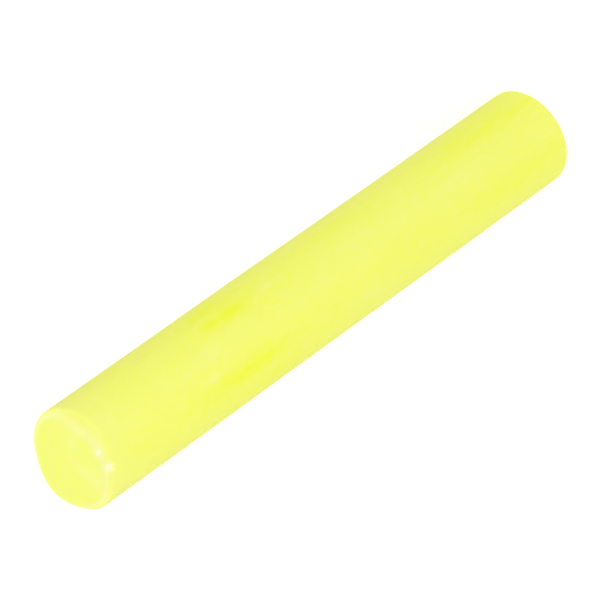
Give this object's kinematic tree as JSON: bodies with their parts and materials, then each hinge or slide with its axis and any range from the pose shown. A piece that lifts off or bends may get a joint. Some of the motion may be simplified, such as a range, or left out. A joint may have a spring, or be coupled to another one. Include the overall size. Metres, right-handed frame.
{
  "type": "chalk stick",
  "caption": "Round yellow chalk stick, moulded solid, with one square end and one slightly slanted end with a worn, rounded rim.",
  "frame": {"origin": "centre of the square end that the stick stands on", "axes": "+Z along the stick's axis, towards the worn, slanted end; +X and +Y are across it"},
  "size_m": [0.012, 0.012, 0.0803],
  "materials": {
    "yellow_chalk": "matt, slightly waxy, with paler and stronger streaks along its length"
  },
  "bodies": {
    "root": {"chalk_stick": "yellow_chalk"}
  },
  "joints": []
}
